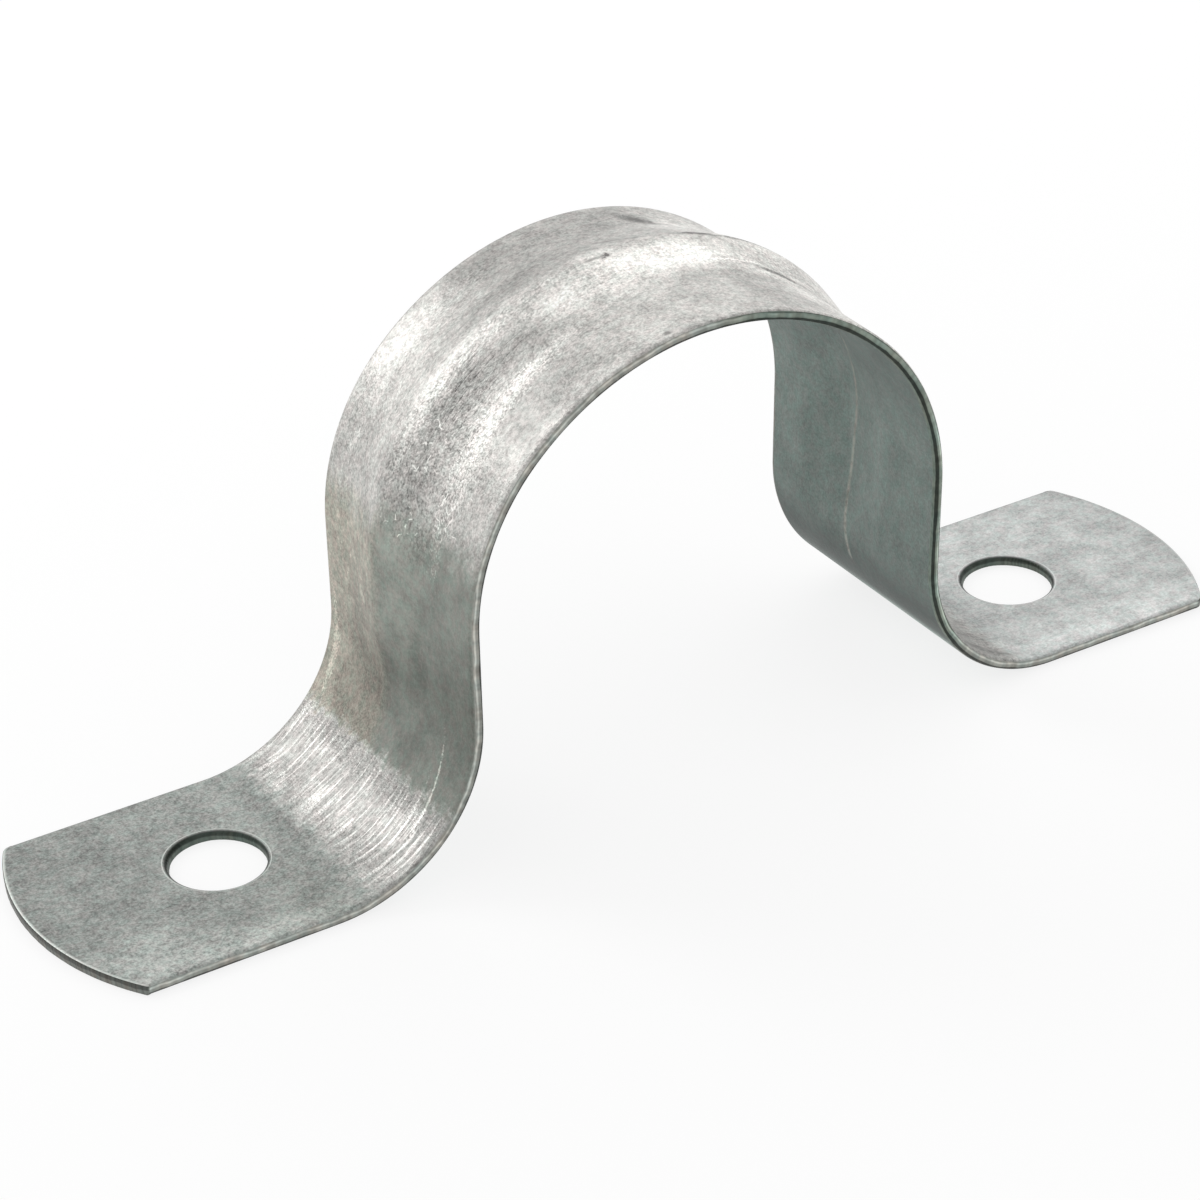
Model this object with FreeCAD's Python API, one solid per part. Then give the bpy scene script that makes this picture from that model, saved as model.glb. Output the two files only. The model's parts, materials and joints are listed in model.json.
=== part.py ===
"""Two-hole conduit strap: one strip of galvanised sheet, folded over a conduit and screwed down.

The strip is punched flat, with a hole near each end and its ends cut to an arc.  It is then pressed
into an arch with two legs and two flat feet.  A shallow V rib, raised out of the sheet, stiffens the
arch, and it runs out where the legs turn into the feet.

The sheet is made as its press makes it, between two tools: a solid under its outer face, less a solid
under its inner face.  Every face of one tool is the other's, offset by the thickness of the sheet.

Frame: millimetres, +X along the strap from foot to foot, +Y across the strip, +Z up.  The origin is in
the mounting surface, midway between the tips of the feet and between the edges of the strip.
"""
import FreeCAD, Part
import math
import os

# Driving dimensions, in millimetres and degrees.
STRIP_WIDTH = 20.6
SHEET_THICKNESS = 0.8

CONDUIT_DIAMETER = 38.35
CONDUIT_CLEARANCE = 0.1      # between the conduit and the arch, on the radius
CONDUIT_SQUEEZE = 1.35       # how much the arch is lower inside than the conduit that it clamps
LEG_LEAN = 1.3               # of each leg, in under the conduit
FOOT_BEND_RADIUS = 11.3      # of the upper face, where a leg turns into its foot

HOLE_DIAMETER = 7.14
HOLE_LAND = 0.18             # flat sheet between a foot's bend and its hole
HOLE_TO_TIP = 14.45
TIP_RADIUS = 18.8            # of the arc that ends a foot, in plan
CORNER_RADIUS = 0.8          # where that arc meets the edges of the strip
PUNCH_OFFSET = 0.5           # of the holes and tips from the middle of the strip, across it

RIB_HEIGHT = 1.17
RIB_HALF_WIDTH = 5.3
RIB_CREST_RADIUS = 2.0       # of the outer face
RIB_ROOT_RADIUS = 6.0        # of the outer face
RIB_OFFSET = 1.2             # of the crest from the middle of the strip, across it
RIB_RUN_OUT_RADIUS = 40.0    # of the path on which the crest sinks back into the leg

SHEARED_EDGE_RADIUS = 0.18   # where the shear and the punch roll the outer face over

# Reach of the forming tools past the sheet. It leaves no mark on the strap.
TOOL_UNDER = 6.0
TOOL_OVER = 2.0
RIB_TOOL_DEPTH = 3.0
RUN_OUT_TURN = 15.0

# Places and sizes that follow.
ARCH_RADIUS = CONDUIT_DIAMETER / 2 + CONDUIT_CLEARANCE
ARCH_HEIGHT = CONDUIT_DIAMETER - CONDUIT_SQUEEZE
OUTER_ARCH_RADIUS = ARCH_RADIUS + SHEET_THICKNESS
ARCH_END = 90 + LEG_LEAN     # angle from the crown at which the arch becomes a leg
BEND_HEIGHT = SHEET_THICKNESS + FOOT_BEND_RADIUS

ORIGIN = FreeCAD.Vector(0, 0, 0)
X_AXIS = FreeCAD.Vector(1, 0, 0)
Y_AXIS = FreeCAD.Vector(0, 1, 0)
Z_AXIS = FreeCAD.Vector(0, 0, 1)
ARCH_CENTRE = Z_AXIS * (ARCH_HEIGHT - ARCH_RADIUS)


def foot_bend_x():
    """Where the foot's bend ends: the leg is the common tangent of the arch and that bend."""
    lean = math.radians(LEG_LEAN)
    reach = OUTER_ARCH_RADIUS + FOOT_BEND_RADIUS
    drop = ARCH_CENTRE.z - BEND_HEIGHT
    return (reach - drop * math.sin(lean)) / math.cos(lean)


BEND_CENTRE = FreeCAD.Vector(foot_bend_x(), 0, BEND_HEIGHT)
HOLE_X = BEND_CENTRE.x + HOLE_LAND + HOLE_DIAMETER / 2
TIP_X = HOLE_X + HOLE_TO_TIP


def polar(centre, radius, angle):
    """Point around a centre in the XZ plane, its angle measured from +Z towards +X."""
    turn = math.radians(angle)
    return centre + FreeCAD.Vector(radius * math.sin(turn), 0, radius * math.cos(turn))


def arc(centre, radius, start, end):
    """Arc in the XZ plane between two angles from +Z."""
    points = [polar(centre, radius, angle) for angle in (start, (start + end) / 2, end)]
    return Part.Arc(*points).toShape()


def mirrored(shape):
    """The same shape on the strap's other side."""
    return shape.mirror(ORIGIN, X_AXIS)


def flank_angle():
    """Slope of the rib's flanks, tangent to its crest and its roots at the rib's height and width."""
    radii = RIB_CREST_RADIUS + RIB_ROOT_RADIUS
    rise = radii - RIB_HEIGHT
    return math.atan2(RIB_HALF_WIDTH, rise) - math.acos(radii / math.hypot(RIB_HALF_WIDTH, rise))


def strip_tool(depth):
    """Solid under one face of the strip before its rib, depth in from the outer face."""
    arch = OUTER_ARCH_RADIUS - depth
    bend = FOOT_BEND_RADIUS + depth
    leg_top = polar(ARCH_CENTRE, arch, ARCH_END)
    leg_bottom = polar(BEND_CENTRE, bend, ARCH_END - 180)
    foot_start = polar(BEND_CENTRE, bend, -180)
    foot_end = FreeCAD.Vector(TIP_X + TOOL_OVER, 0, foot_start.z)
    base_end = FreeCAD.Vector(foot_end.x, 0, -TOOL_UNDER)
    half = [
        arc(ARCH_CENTRE, arch, 0, ARCH_END),
        Part.makeLine(leg_top, leg_bottom),
        arc(BEND_CENTRE, bend, ARCH_END - 180, -180),
        Part.makeLine(foot_start, foot_end),
        Part.makeLine(foot_end, base_end),
        Part.makeLine(base_end, FreeCAD.Vector(0, 0, -TOOL_UNDER)),
    ]
    edges = half + [mirrored(edge) for edge in half]
    wire = Part.Wire(Part.__sortEdges__(edges))
    wire.translate(Y_AXIS * -STRIP_WIDTH / 2)
    return Part.Face(wire).extrude(Y_AXIS * STRIP_WIDTH)


def rib_section(depth):
    """Section of the rib's tool over the crown, in the YZ plane, depth in from the outer face."""
    crest = RIB_CREST_RADIUS - depth
    root = RIB_ROOT_RADIUS + depth
    crest_z = ARCH_CENTRE.z + OUTER_ARCH_RADIUS + RIB_HEIGHT - RIB_CREST_RADIUS
    root_z = ARCH_CENTRE.z + OUTER_ARCH_RADIUS + RIB_ROOT_RADIUS

    def crest_point(turn):
        return FreeCAD.Vector(0, RIB_OFFSET + crest * math.sin(turn), crest_z + crest * math.cos(turn))

    def root_point(side, turn):
        inwards = RIB_HALF_WIDTH - root * math.sin(turn)
        return FreeCAD.Vector(0, RIB_OFFSET + side * inwards, root_z - root * math.cos(turn))

    slope = flank_angle()
    near_foot, near_end = root_point(-1, 0), root_point(-1, slope)
    far_end, far_foot = root_point(1, slope), root_point(1, 0)
    down = Z_AXIS * -RIB_TOOL_DEPTH
    edges = [
        Part.Arc(near_foot, root_point(-1, slope / 2), near_end).toShape(),
        Part.makeLine(near_end, crest_point(-slope)),
        Part.Arc(crest_point(-slope), crest_point(0), crest_point(slope)).toShape(),
        Part.makeLine(crest_point(slope), far_end),
        Part.Arc(far_end, root_point(1, slope / 2), far_foot).toShape(),
        Part.makeLine(far_foot, far_foot + down),
        Part.makeLine(far_foot + down, near_foot + down),
        Part.makeLine(near_foot + down, near_foot),
    ]
    return Part.Face(Part.Wire(edges))


def rib_tool(depth):
    """The rib's tool: its section turned over the arch, then on past each end to run out.

    A run-out turns about an axis further off than the arch's, on the same radius line, so that its
    crest leaves the arch smoothly and sinks into the leg while its roots close to a point.
    """
    section = rib_section(depth)
    start = section.rotated(ARCH_CENTRE, Y_AXIS, -ARCH_END)
    end = section.rotated(ARCH_CENTRE, Y_AXIS, ARCH_END)
    over_arch = start.revolve(ARCH_CENTRE, Y_AXIS, 2 * ARCH_END)
    crest_radius = OUTER_ARCH_RADIUS + RIB_HEIGHT
    run_out_centre = polar(ARCH_CENTRE, crest_radius - RIB_RUN_OUT_RADIUS, ARCH_END)
    run_out = end.revolve(run_out_centre, Y_AXIS, RUN_OUT_TURN)
    return [over_arch, run_out, mirrored(run_out)]


def forming_tool(depth):
    """Solid under one whole face of the pressed sheet."""
    return strip_tool(depth).multiFuse(rib_tool(depth))


def blank_outline():
    """Prism over the strip's outline in plan: straight edges, and a tip cut to an arc at each end."""
    half_width = STRIP_WIDTH / 2
    tip_centre_x = TIP_X - TIP_RADIUS

    def tip_point(side, y):
        across = y - PUNCH_OFFSET
        return FreeCAD.Vector(side * (tip_centre_x + math.sqrt(TIP_RADIUS**2 - across**2)), y, 0)

    right_near, right_far = tip_point(1, -half_width), tip_point(1, half_width)
    left_near, left_far = tip_point(-1, -half_width), tip_point(-1, half_width)
    edges = [
        Part.makeLine(left_near, right_near),
        Part.Arc(right_near, tip_point(1, PUNCH_OFFSET), right_far).toShape(),
        Part.makeLine(right_far, left_far),
        Part.Arc(left_far, tip_point(-1, PUNCH_OFFSET), left_near).toShape(),
    ]
    face = Part.Face(Part.Wire(edges))
    face.translate(Z_AXIS * -TOOL_UNDER)
    height = TOOL_UNDER + ARCH_HEIGHT + SHEET_THICKNESS + RIB_HEIGHT + TOOL_OVER
    prism = face.extrude(Z_AXIS * height)
    corners = [edge for edge in prism.Edges if abs(edge.tangentAt(edge.FirstParameter).z) > 0.5]
    return prism.makeFillet(CORNER_RADIUS, corners)


def hole_punch(side):
    """Punch for the screw hole in one foot."""
    bottom = FreeCAD.Vector(side * HOLE_X, PUNCH_OFFSET, -TOOL_UNDER)
    return Part.makeCylinder(HOLE_DIAMETER / 2, TOOL_UNDER + BEND_HEIGHT, bottom, Z_AXIS)


def roll_over_sheared_edges(sheet, inner_tool, outline, punches):
    """Round the outer edge of each sheared wall: the long edges, the tips and the holes."""
    walls = [outline.Shells[0]] + [punch.Shells[0] for punch in punches]

    def is_sheared_outer_edge(edge):
        middle = Part.Vertex(edge.valueAt((edge.FirstParameter + edge.LastParameter) / 2))
        on_wall = any(middle.distToShape(wall)[0] < 1e-6 for wall in walls)
        return on_wall and middle.distToShape(inner_tool)[0] > SHEET_THICKNESS * 0.9

    return sheet.makeFillet(SHEARED_EDGE_RADIUS, [e for e in sheet.Edges if is_sheared_outer_edge(e)])


def strap():
    inner_tool = forming_tool(SHEET_THICKNESS)
    outline = blank_outline()
    punches = [hole_punch(side) for side in (-1, 1)]
    sheet = forming_tool(0).cut(inner_tool).common(outline).cut(punches)
    return roll_over_sheared_edges(sheet.Solids[0], inner_tool, outline, punches)


os.makedirs("parts", exist_ok=True)
strap().exportStep("parts/strap.step")
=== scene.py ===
import json
import math
import random

import bpy
from mathutils import Matrix, Vector


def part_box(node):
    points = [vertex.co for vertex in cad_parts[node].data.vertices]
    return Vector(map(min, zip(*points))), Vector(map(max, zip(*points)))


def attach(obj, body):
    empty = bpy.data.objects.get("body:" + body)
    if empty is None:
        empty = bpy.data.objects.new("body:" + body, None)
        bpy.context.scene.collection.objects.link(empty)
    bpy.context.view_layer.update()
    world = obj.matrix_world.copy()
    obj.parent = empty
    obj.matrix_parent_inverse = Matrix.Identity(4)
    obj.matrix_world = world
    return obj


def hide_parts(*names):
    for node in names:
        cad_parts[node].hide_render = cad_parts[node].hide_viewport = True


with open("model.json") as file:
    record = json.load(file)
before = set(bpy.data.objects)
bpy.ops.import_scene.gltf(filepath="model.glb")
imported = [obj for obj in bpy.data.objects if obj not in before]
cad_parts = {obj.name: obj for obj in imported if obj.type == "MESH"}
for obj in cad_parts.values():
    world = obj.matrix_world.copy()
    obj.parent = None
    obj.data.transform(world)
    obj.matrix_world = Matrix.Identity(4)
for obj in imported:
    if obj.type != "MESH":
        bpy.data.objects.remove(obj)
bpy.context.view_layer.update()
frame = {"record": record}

MM = 0.001


# ---------------- sizes of the strap, in millimetres

strap_low, strap_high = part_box("strap")
mounts = {mount["name"]: mount for mount in frame["record"]["mounts"]}
screw_holes = mounts["screw_holes"]

STRIP_WIDTH = (strap_high.y - strap_low.y) / MM - 0.012
TIP_X = strap_high.x / MM - 0.008
CREST_Z = strap_high.z / MM - 0.015
HOLE_X = screw_holes["dims"]["spacing_x_mm"] / 2
HOLE_RADIUS = screw_holes["dims"]["hole_r_mm"]
HOLE_OFFSET = screw_holes["pos_m"][1] / MM
SHEET = screw_holes["pos_m"][2] / MM

CROWN_RADIUS = 20.24
CROWN_HALF_ANGLE = math.radians(44.9)
SHOULDER_RADIUS = 16.66
ARCH_END_ANGLE = math.radians(90.67)
FOOT_BEND_RADIUS = 11.19

RIB_HEIGHT = 1.15
RIB_OFFSET = 1.46
RIB_HALF_WIDTH = 4.95
RIB_CREST_RADIUS = 1.3
RIB_ROOT_ROUNDING = 0.1
RIB_FULL_UNTIL = 32.5
RIB_GONE_AT = 42.0

TIP_RADIUS = 18.76
TIP_OFFSET = 0.8
SHARP_CORNER = 0.45
ROUND_CORNER = 1.1
EDGE_ROLL = 0.38
SHEARED_ROLL = 0.16
HOLE_ROLL = 0.34
HOLE_LEAN = 0.3
HOLE_LEAN_TOWARDS = (0.8, -0.3)
HAND_SET = 0.02              # how far low spots in the feet may sink
LONGEST_FOOT = 100.0         # more than any foot of the blank


# ---------------- the flat blank

GRID_STEP = 0.36
CREST_STEP = 0.17
RIM_STEP = 0.34
PATCH_HALF = 5.3


def run_lengths():
    """Where each run of the folded strip starts, counted along the middle of the sheet from the crown."""
    crown = CROWN_RADIUS + SHEET / 2
    shoulder = SHOULDER_RADIUS + SHEET / 2
    bend = FOOT_BEND_RADIUS + SHEET / 2
    crown_end = crown * CROWN_HALF_ANGLE
    arch_end = crown_end + shoulder * (ARCH_END_ANGLE - CROWN_HALF_ANGLE)
    top = CREST_Z - RIB_HEIGHT - SHEET / 2
    crown_drop = crown * (1 - math.cos(CROWN_HALF_ANGLE))
    shoulder_drop = shoulder * (math.cos(CROWN_HALF_ANGLE) - math.cos(ARCH_END_ANGLE))
    bend_drop = bend * (1 - math.cos(ARCH_END_ANGLE))
    leg_drop = top - crown_drop - shoulder_drop - bend_drop - SHEET / 2
    leg = leg_drop / math.sin(ARCH_END_ANGLE)
    bend_start = arch_end + leg
    foot_start = bend_start + bend * ARCH_END_ANGLE
    reach = crown * math.sin(CROWN_HALF_ANGLE)
    reach += shoulder * (math.sin(ARCH_END_ANGLE) - math.sin(CROWN_HALF_ANGLE))
    reach += leg * math.cos(ARCH_END_ANGLE)
    reach += bend * math.sin(ARCH_END_ANGLE)
    return {
        "crown_end": crown_end,
        "arch_end": arch_end,
        "leg": leg,
        "bend_start": bend_start,
        "foot_start": foot_start,
        "foot_x": reach,
    }


RUNS = run_lengths()
HOLE_S = RUNS["foot_start"] + HOLE_X - RUNS["foot_x"]
TIP_S = RUNS["foot_start"] + TIP_X - RUNS["foot_x"]
TIP_CENTRE_S = TIP_S - TIP_RADIUS


def spread(start, end, step):
    """Evenly spaced places from start to end, about a step apart, without the last."""
    count = max(1, round(abs(end - start) / step))
    return [start + (end - start) * i / count for i in range(count)]


def spread_through(stops):
    """Places through several stretches, each with its own step: (start, step), ..., (end, None)."""
    places = []
    for (start, step), (end, _) in zip(stops, stops[1:]):
        places += spread(start, end, step)
    return places + [stops[-1][0]]


def across_places():
    """Where the lengthwise lines of the blank lie across the strip, finer over the rib's crest."""
    edge = STRIP_WIDTH / 2 - EDGE_ROLL
    return spread_through([
        (-edge, RIM_STEP),
        (HOLE_OFFSET - PATCH_HALF, RIM_STEP),
        (RIB_OFFSET - 1.2, CREST_STEP),
        (RIB_OFFSET + 1.2, RIM_STEP),
        (HOLE_OFFSET + PATCH_HALF, RIM_STEP),
        (edge, None),
    ])


ACROSS = across_places()
PATCH_FIRST = min(range(len(ACROSS)), key=lambda j: abs(ACROSS[j] - HOLE_OFFSET + PATCH_HALF))
PATCH_LAST = min(range(len(ACROSS)), key=lambda j: abs(ACROSS[j] - HOLE_OFFSET - PATCH_HALF))


def tip_outline(near_corner, far_corner):
    """Points of the trimmed tip from the near edge to the far one, each with its outward direction."""
    half = STRIP_WIDTH / 2
    corners = []
    for side, radius in ((-1, near_corner), (1, far_corner)):
        w = side * (half - radius)
        s = TIP_CENTRE_S + math.sqrt((TIP_RADIUS - radius) ** 2 - (w - TIP_OFFSET) ** 2)
        corners.append((s, w, radius, math.atan2(w - TIP_OFFSET, s - TIP_CENTRE_S)))
    (near_s, near_w, near_r, near_turn), (far_s, far_w, far_r, far_turn) = corners
    points = []
    steps = 6
    for i in range(steps):
        turn = -math.pi / 2 + (near_turn + math.pi / 2) * i / steps
        points.append((near_s, near_w, near_r, turn))
    count = len(ACROSS) - 2 * steps - 1
    for i in range(count + 1):
        turn = near_turn + (far_turn - near_turn) * i / count
        points.append((TIP_CENTRE_S, TIP_OFFSET, TIP_RADIUS, turn))
    for i in range(1, steps + 1):
        turn = far_turn + (math.pi / 2 - far_turn) * i / steps
        points.append((far_s, far_w, far_r, turn))
    outline = []
    for s, w, radius, turn in points:
        out = (math.cos(turn), math.sin(turn))
        outline.append((s + radius * out[0], w + radius * out[1], out))
    return outline


class Blank:
    """The flat blank: one layout of points and cells that both faces share, and its cut loops."""

    def __init__(self):
        self.points = []
        self.cells = []
        self.loops = []

    def point(self, s, w):
        self.points.append((s, w))
        return len(self.points) - 1

    def cell(self, a, b, c, d, side):
        self.cells.append((a, b, c, d) if side > 0 else (a, d, c, b))

    def middle(self):
        """The plain grid between the two hole patches."""
        reach = HOLE_S - PATCH_HALF
        half = spread(0, reach, GRID_STEP) + [reach]
        along = [-s for s in half[:0:-1]] + half
        columns = [[self.point(s, w) for w in ACROSS] for s in along]
        for here, after in zip(columns, columns[1:]):
            for j in range(len(ACROSS) - 1):
                self.cell(here[j], after[j], after[j + 1], here[j + 1], 1)
        return columns[0], columns[-1], columns

    def foot(self, side, first_column, near_corner, far_corner):
        """One foot: the plain strips beside the hole, the rings round it and the trimmed tip."""
        start = HOLE_S - PATCH_HALF
        end = HOLE_S + PATCH_HALF
        along = spread(start, end, GRID_STEP) + [end]
        last = len(ACROSS) - 1
        columns = [list(first_column)]
        for s in along[1:]:
            whole = s == along[-1]
            column = []
            for j in range(last + 1):
                inside = PATCH_FIRST < j < PATCH_LAST
                column.append(None if inside and not whole else self.point(side * s, ACROSS[j]))
            columns.append(column)
        for here, after in zip(columns, columns[1:]):
            for j in list(range(PATCH_FIRST)) + list(range(PATCH_LAST, last)):
                self.cell(here[j], after[j], after[j + 1], here[j + 1], side)
        rim = self.hole(side, columns)
        tip, tip_columns = self.tip(side, columns[-1], near_corner, far_corner)
        return columns + tip_columns, tip, rim

    def hole(self, side, columns):
        """Rings that pass from the square gap in the grid to the round hole."""
        square = [columns[0][j] for j in range(PATCH_FIRST, PATCH_LAST)]
        square += [column[PATCH_LAST] for column in columns[:-1]]
        square += [columns[-1][j] for j in range(PATCH_LAST, PATCH_FIRST, -1)]
        square += [column[PATCH_FIRST] for column in columns[:0:-1]]
        radius = HOLE_RADIUS + EDGE_ROLL
        steps = (0.0, 0.22, 0.42, 0.6, 0.76, 0.89, 1.0)
        rings = [square]
        centre_s = side * HOLE_S
        for step in steps[1:]:
            ring = []
            for corner in square:
                s, w = self.points[corner]
                reach = math.hypot(s - centre_s, w - HOLE_OFFSET)
                now = reach + (radius - reach) * step
                ring.append(self.point(
                    centre_s + (s - centre_s) * now / reach,
                    HOLE_OFFSET + (w - HOLE_OFFSET) * now / reach,
                ))
            rings.append(ring)
        for outer, inner in zip(rings, rings[1:]):
            for i in range(len(outer)):
                after = (i + 1) % len(outer)
                self.cell(outer[i], inner[i], inner[after], outer[after], side)
        rim = []
        for corner in rings[-1]:
            s, w = self.points[corner]
            out = ((centre_s - s) / radius, (HOLE_OFFSET - w) / radius)
            rim.append((corner, out, 2.0))
        return rim

    def tip(self, side, first_column, near_corner, far_corner):
        """The grid from the hole patch out to the trimmed tip."""
        outline = tip_outline(near_corner, far_corner)
        start = HOLE_S + PATCH_HALF
        count = round((TIP_S - start) / GRID_STEP)
        columns = []
        before = first_column
        for i in range(1, count + 1):
            part = i / count
            column = []
            for j, (s, w, out) in enumerate(outline):
                tip_s = s - EDGE_ROLL * out[0]
                tip_w = w - EDGE_ROLL * out[1]
                column.append(self.point(
                    side * (start + (tip_s - start) * part),
                    ACROSS[j] + (tip_w - ACROSS[j]) * part,
                ))
            for j in range(len(ACROSS) - 1):
                self.cell(before[j], column[j], column[j + 1], before[j + 1], side)
            columns.append(column)
            before = column
        trimmed = []
        for corner, (_, _, out) in zip(before, outline):
            trimmed.append((corner, (side * out[0], out[1]), min(1.0, 1.6 * abs(out[0]))))
        return trimmed, columns

    def build(self):
        left_column, right_column, columns = self.middle()
        right_columns, right_tip, right_rim = self.foot(1, right_column, ROUND_CORNER, ROUND_CORNER)
        left_columns, left_tip, left_rim = self.foot(-1, left_column, SHARP_CORNER, ROUND_CORNER)
        whole = left_columns[:0:-1] + columns + right_columns[1:]
        near = [(column[0], (0.0, -1.0), 0.0) for column in whole[1:-1]]
        far = [(column[-1], (0.0, 1.0), 0.0) for column in whole[1:-1]]
        self.loops = [near + right_tip + far[::-1] + left_tip[::-1], right_rim, left_rim[::-1]]
        return self


# The cut edges below their rolled shoulder: how far out they stand, their height and their roughness.
UNDERSIDE = -SHEET / 2
SIDE_WALL = [
    (0.0, -0.06, 0.0),
    (-0.01, -0.15, 0.003),
    (-0.05, -0.25, 0.003),
    (-0.13, UNDERSIDE + 0.06, 0.003),
    (-0.28, UNDERSIDE, 0.0),
]
HOLE_WALL = [
    (0.0, -0.02, 0.003),
    (-0.01, -0.1, 0.008),
    (-0.03, -0.2, 0.01),
    (-0.03, UNDERSIDE + 0.05, 0.01),
    (-0.07, UNDERSIDE, 0.004),
]
TIP_WALL = [
    (0.0, 0.08, 0.003),
    (-0.01, -0.02, 0.01),
    (-0.035, -0.16, 0.016),
    (-0.03, UNDERSIDE + 0.05, 0.012),
    (-0.07, UNDERSIDE, 0.004),
]


def edge_profile(roll, wall):
    """The cut edge from the outer face to the inner: a rolled shoulder, then the wall."""
    shoulder = []
    for degrees in (22.5, 45.0, 67.5, 90.0):
        turn = math.radians(degrees)
        shoulder.append((roll * (math.sin(turn) - 1), SHEET / 2 - roll * (1 - math.cos(turn)), 0.0))
    return shoulder + wall


def flat_blank():
    """The blank as a closed mesh, drawn flat: x runs along the strip, y across it, z through the sheet."""
    blank = Blank().build()
    count = len(blank.points)
    half = SHEET / 2
    corners = [(s, w, half) for s, w in blank.points] + [(s, w, -half) for s, w in blank.points]
    sheared = [0.0] * len(corners)
    faces = list(blank.cells)
    faces += [tuple(corner + count for corner in cell[::-1]) for cell in blank.cells]
    cut = [0] * len(faces)
    chance = random.Random(7)
    side_profile = edge_profile(EDGE_ROLL, SIDE_WALL)
    for loop in blank.loops:
        rows = [[corner for corner, _, _ in loop]]
        punched = loop is not blank.loops[0]
        cut_profile = edge_profile(HOLE_ROLL, HOLE_WALL) if punched else edge_profile(SHEARED_ROLL, TIP_WALL)
        for rolled, torn in zip(side_profile, cut_profile):
            row = []
            for corner, out, cut_off in loop:
                s, w = blank.points[corner]
                share = min(cut_off, 1.0)
                out_by, depth, rough = [a + (b - a) * share for a, b in zip(rolled, torn)]
                out_by += EDGE_ROLL + rough * chance.uniform(-1, 1)
                if punched:
                    lean = out[0] * HOLE_LEAN_TOWARDS[0] + out[1] * HOLE_LEAN_TOWARDS[1]
                    out_by += HOLE_LEAN * max(0.0, lean) * (half - depth) / SHEET
                corners.append((s + out[0] * out_by, w + out[1] * out_by, depth))
                sheared.append(cut_off)
                row.append(len(corners) - 1)
            rows.append(row)
        rows.append([corner + count for corner, _, _ in loop])
        for upper, lower in zip(rows, rows[1:]):
            for i in range(len(loop)):
                after = (i + 1) % len(loop)
                faces.append((upper[i], lower[i], lower[after], upper[after]))
                cut.append(0 if lower is rows[1] or lower is rows[2] else 1)
    mesh = bpy.data.meshes.new("strap")
    mesh.from_pydata([Vector(corner) * MM for corner in corners], [], faces)
    mesh.attributes.new("cut_edge", "INT", "FACE").data.foreach_set("value", cut)
    mesh.attributes.new("sheared", "FLOAT", "POINT").data.foreach_set("value", sheared)
    mesh.update()
    return mesh


# ---------------- node trees

class Bench:
    """Puts nodes into one tree and joins them up."""

    def __init__(self, tree):
        self.tree = tree

    def add(self, kind, **settings):
        node = self.tree.nodes.new(kind)
        for name, value in settings.items():
            setattr(node, name, value)
        return node

    def feed(self, socket, source):
        if isinstance(source, bpy.types.NodeSocket):
            self.tree.links.new(source, socket)
        else:
            socket.default_value = source

    def fitted(self, kind, terms, **settings):
        """A node with its first inputs fed in order. Gives back its first output."""
        node = self.add(kind, **settings)
        for term, socket in zip(terms, node.inputs):
            self.feed(socket, term)
        return node.outputs[0]

    def named(self, kind, values, **settings):
        """A node with some of its inputs fed by name."""
        node = self.add(kind, **settings)
        for name, source in values.items():
            self.feed(node.inputs[name], source)
        return node.outputs

    def math(self, operation, *terms):
        return self.fitted("ShaderNodeMath", terms, operation=operation)

    def plus(self, first, second):
        return self.math("ADD", first, second)

    def minus(self, first, second):
        return self.math("SUBTRACT", first, second)

    def times(self, first, second):
        return self.math("MULTIPLY", first, second)

    def over(self, first, second):
        return self.math("DIVIDE", first, second)

    def vector(self, operation, *terms):
        return self.fitted("ShaderNodeVectorMath", terms, operation=operation)

    def combine(self, x, y, z):
        return self.fitted("ShaderNodeCombineXYZ", (x, y, z))

    def scaled(self, vector, factor):
        return self.named("ShaderNodeVectorMath", {0: vector, "Scale": factor}, operation="SCALE")[0]

    def parts(self, vector):
        return self.named("ShaderNodeSeparateXYZ", {0: vector})

    def mix(self, first, second, factor, kind="FLOAT"):
        given = {"Factor": factor, "A": first, "B": second}
        return self.named("ShaderNodeMix", given, data_type=kind)["Result"]

    def mix_colour(self, first, second, factor):
        return self.mix(first, second, factor, "RGBA")

    def ramp(self, value, low, high):
        """0 at low and 1 at high, with a soft start and end."""
        given = {"Value": value, "From Min": low, "From Max": high}
        return self.named("ShaderNodeMapRange", given, interpolation_type="SMOOTHSTEP")["Result"]

    def noise(self, place, scale, **settings):
        return self.named("ShaderNodeTexNoise", {"Vector": place, "Scale": scale, **settings})

    def attribute(self, name):
        return self.add("ShaderNodeAttribute", attribute_name=name).outputs["Fac"]

    def step(self, kind, geometry, values=(), **settings):
        """A geometry node that takes the geometry in and passes it on."""
        return self.named(kind, {"Geometry": geometry, **dict(values)}, **settings)[0]

    def group(self, tree, **values):
        kind = tree.bl_idname.replace("NodeTree", "NodeGroup")
        given = {name.replace("_", " "): source for name, source in values.items()}
        return self.named(kind, given, node_tree=tree)

    def roughen(self, shader, height, distance, strength):
        """Feeds a shader's normal from a bump."""
        given = {"Height": height, "Distance": distance, "Strength": strength}
        self.feed(shader.inputs["Normal"], self.named("ShaderNodeBump", given)[0])


FLOAT = "NodeSocketFloat"
VECTOR = "NodeSocketVector"
GEOMETRY = "NodeSocketGeometry"
MATERIAL = "NodeSocketMaterial"


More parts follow.
